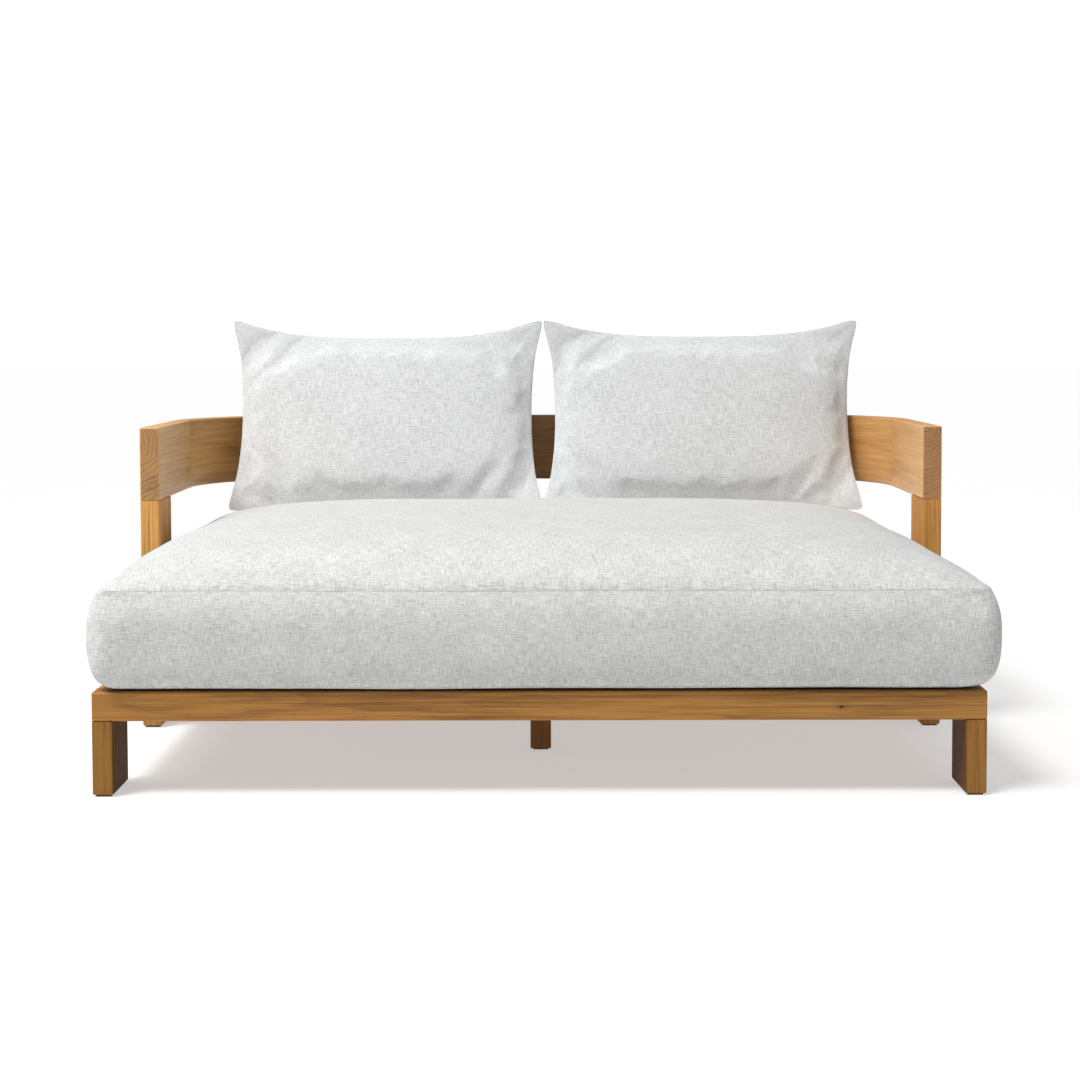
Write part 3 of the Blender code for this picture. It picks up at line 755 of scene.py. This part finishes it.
def pillow_form(u, v, width, top_dip, side_dip, foot_dip):
    """Flat place (x, z) and relative half thickness of a pillow at u, v, each from -1 to 1."""
    pull_z = top_dip if v > 0 else foot_dip
    x = width / 2 * u - math.copysign(side_dip * (1 - abs(v) ** 2.4) * abs(u) ** 3, u)
    z = PILLOW_HEIGHT / 2 * v - math.copysign(pull_z * (1 - abs(u) ** 3.2) * abs(v) ** 3, v)
    tip = PILLOW_TIP * abs(u) ** TIP_REACH[0] * abs(v) ** TIP_REACH[1]
    thick = ((1 - abs(u) ** 2.6) * (1 - abs(v) ** 2.3)) ** 0.74
    return x - math.copysign(tip, u), z - math.copysign(tip, v), thick


def corner_fold(u, v, x, z, width):
    """Depth of the soft folds that fan out from each pillow corner."""
    along, up = width / 2 - abs(x), PILLOW_HEIGHT / 2 - abs(z)
    share = max(1 - math.hypot(along, up) / FOLD_REACH, 0.0)
    fan = math.atan2(up, along)
    phase = 1.7 * math.copysign(1.0, u) + 0.9 * math.copysign(1.0, v)
    return FOLD_DEPTH * share * share * math.sin(11.0 * fan + phase) * math.sin(2.0 * fan)


def eased(share):
    """A place from -1 to 1 on the pillow's grid, which is finer towards the sewn edge."""
    return EDGE_EASE * math.sin(math.pi / 2 * share) + (1 - EDGE_EASE) * share


def build_pillow(name, width, material, dips):
    """One knife-edged pillow: two panels that share their sewn edge."""
    columns, rows = PILLOW_COLUMNS, PILLOW_ROWS
    vertices, index_of = [], {}

    def vertex(face_side, i, j):
        edge = i in (0, columns) or j in (0, rows)
        key = (0 if edge else face_side, i, j)
        if key not in index_of:
            u, v = eased(2 * i / columns - 1), eased(2 * j / rows - 1)
            x, z, thick = pillow_form(u, v, width, *dips)
            index_of[key] = len(vertices)
            depth = PILLOW_FRONT if face_side < 0 else PILLOW_BACK
            fold = corner_fold(u, v, x, z, width) * (1 - math.exp(-60 * thick * thick))
            vertices.append((x, 0.0 if edge else face_side * (depth * thick + fold), z))
        return index_of[key]

    faces, weave = [], []
    for face_side in (-1, 1):
        for i in range(columns):
            for j in range(rows):
                corners = [(i, j), (i + 1, j), (i + 1, j + 1), (i, j + 1)]
                if face_side > 0:
                    corners.reverse()
                faces.append([vertex(face_side, *corner) for corner in corners])
                weave += [(width * (a / columns + 3), PILLOW_HEIGHT * (b / rows + face_side))
                          for a, b in corners]
    pillow = new_object("cover_" + name, vertices, faces, material)
    set_weave(pillow, weave)
    edge_keys = [(0, i, 0) for i in range(columns)] + [(0, columns, j) for j in range(rows)]
    edge_keys += [(0, i, rows) for i in range(columns, 0, -1)] + [(0, 0, j) for j in range(rows, 0, -1)]
    edge = [index_of[key] for key in edge_keys]
    swell(pillow, 1.2, 14, 0.010, seam=edge, shrink=0.03)
    points = get_points(pillow)
    for axis, wanted in ((0, width), (2, PILLOW_HEIGHT)):
        low, high = points[:, axis].min(), points[:, axis].max()
        points[:, axis] = (points[:, axis] - (low + high) / 2) * wanted / (high - low)
    set_points(pillow, points)
    return pillow, edge


def lean_pillow(pillow, foot_x, surface):
    """Set the pillow up against the band and press it onto what it touches."""
    points = get_points(pillow)
    points[:, 2] += PILLOW_HEIGHT / 2
    turn = np.array(Matrix.Rotation(-PILLOW_LEAN, 3, "X"))
    points = points @ turn.T
    foot_y = behind(PILLOW_FOOT)
    hit = surface.ray_cast(Vector((foot_x, foot_y, 1.0)), Vector((0, 0, -1)))[0]
    points += np.array([foot_x, foot_y, hit.z - PILLOW_SINK])
    for index, point in enumerate(points):
        x, y, z = point
        beyond = max(abs(x) - ARC_X, 0.0)
        face = ARC_Y + math.sqrt(max(ARC_RADIUS ** 2 - beyond ** 2, 0.0)) if beyond else BAND_FACE_Y
        clear = max(z - BAND_HIGH.z, BAND_LOW.z - z, 0.0)
        points[index, 1] = min(y, face - TOUCH + BAND_ROLL * clear)
    for index, point in enumerate(points):
        hit = surface.ray_cast(Vector((point[0], point[1], 1.2)), Vector((0, 0, -1)))[0]
        if hit and point[2] < hit.z + TOUCH:
            points[index, 2] = hit.z + TOUCH
    set_points(pillow, points)


def build_pillows(material, mattress):
    graph = bpy.context.evaluated_depsgraph_get()
    surface = BVHTree.FromObject(mattress, graph)
    for name, centre, width, dips in PILLOWS:
        pillow, edge = build_pillow(name, width, material, dips)
        lean_pillow(pillow, centre, surface)
        soften(pillow)
        line = surface_points(pillow)[edge]
        add_welt("welt_" + name, line, PILLOW_WELT, material, name)
        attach(pillow, name)
        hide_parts(name)


# ---------------------------------------------------------------- studio and camera

def add_area(name, place, target, size, power):
    light = bpy.data.lights.new(name, "AREA")
    light.shape = "SQUARE"
    light.size = size
    light.energy = power
    obj = bpy.data.objects.new(name, light)
    obj.location = place
    aim = Vector(target) - Vector(place)
    obj.rotation_euler = aim.to_track_quat("-Z", "Y").to_euler()
    SCENE.collection.objects.link(obj)


def build_studio():
    SCENE.view_settings.view_transform = "Standard"
    world = bpy.data.worlds.new("studio")
    SCENE.world = world
    world.use_nodes = True
    tree = world.node_tree
    tree.nodes.clear()
    background = tree.nodes.new("ShaderNodeBackground")
    tree.links.new(background.outputs[0], tree.nodes.new("ShaderNodeOutputWorld").inputs[0])
    path = tree.nodes.new("ShaderNodeLightPath")
    place = tree.nodes.new("ShaderNodeTexCoord")
    height = tree.nodes.new("ShaderNodeSeparateXYZ")
    tree.links.new(place.outputs["Generated"], height.inputs[0])
    dome = tree.nodes.new("ShaderNodeMapRange")
    tree.links.new(height.outputs["Z"], dome.inputs[0])
    dome.inputs[3].default_value = HORIZON_LIGHT
    dome.inputs[4].default_value = ZENITH_LIGHT
    strength = tree.nodes.new("ShaderNodeMapRange")
    tree.links.new(path.outputs["Is Camera Ray"], strength.inputs[0])
    tree.links.new(dome.outputs[0], strength.inputs[3])
    strength.inputs[4].default_value = CAMERA_LIGHT
    tree.links.new(strength.outputs[0], background.inputs[1])
    background.inputs[0].default_value = rgb(1.0, 1.0, 1.0)
    for area_light in AREA_LIGHTS:
        add_area(*area_light)
    sun = bpy.data.lights.new("key", "SUN")
    sun.energy, sun.angle = KEY_POWER, KEY_ANGLE
    key = bpy.data.objects.new("key", sun)
    key.rotation_euler = Vector(KEY_AIM).to_track_quat("-Z", "Y").to_euler()
    SCENE.collection.objects.link(key)

    g = Graph("floor_white")
    fine = g.noise(g.add("TexCoord", out=3), 3.0, 2.0, 0.5)
    g.set(Base_Color=g.mix(fine, rgb(0.49, 0.49, 0.49), rgb(0.51, 0.51, 0.51)), Roughness=0.8)
    g.set(Specular_IOR_Level=0.0, Emission_Color=rgb(1.0, 1.0, 1.0), Emission_Strength=FLOOR_GLOW)
    corners = [(x * FLOOR_REACH, y * FLOOR_REACH, 0) for x, y in ((-1, -1), (1, -1), (1, 1), (-1, 1))]
    floor = new_object("floor", corners, [(0, 1, 2, 3)], g.material)
    floor.location.z = -0.0005


def build_camera():
    """The main view: low and almost square to the front, with the picture shifted in the lens."""
    distance, side_step, eye_height = 3.605, 0.0254, 0.9162
    tilt, roll = math.radians(2.663), math.radians(-0.121)
    camera = bpy.data.cameras.new("camera")
    camera.sensor_width = 36.0
    camera.lens = 60.37
    camera.shift_x = -0.0106
    camera.shift_y = -0.1069
    obj = bpy.data.objects.new("camera", camera)
    obj.location = (side_step, behind(-distance), eye_height)
    turned = Euler((math.pi / 2 - tilt, 0, 0)).to_matrix() @ Euler((0, 0, roll)).to_matrix()
    obj.rotation_euler = turned.to_euler()
    SCENE.collection.objects.link(obj)
    SCENE.camera = obj


def main():
    finish_boards()
    paint_hardware()
    linen = (rgb(0.74, 0.745, 0.74), rgb(0.41, 0.41, 0.40), rgb(0.27, 0.27, 0.26))
    # The pillows' linen is a lighter copy of the mattress's, painted light on the pillows.
    linen_painted_lighter = (rgb(0.825, 0.835, 0.835), rgb(0.52, 0.53, 0.53), rgb(0.36, 0.36, 0.36))
    mattress = build_mattress(make_fabric("mattress_linen", *linen))
    build_pillows(make_fabric("pillow_linen", *linen_painted_lighter, tint=PILLOW_PAINTED_LIGHT), mattress)
    build_studio()
    build_camera()


main()
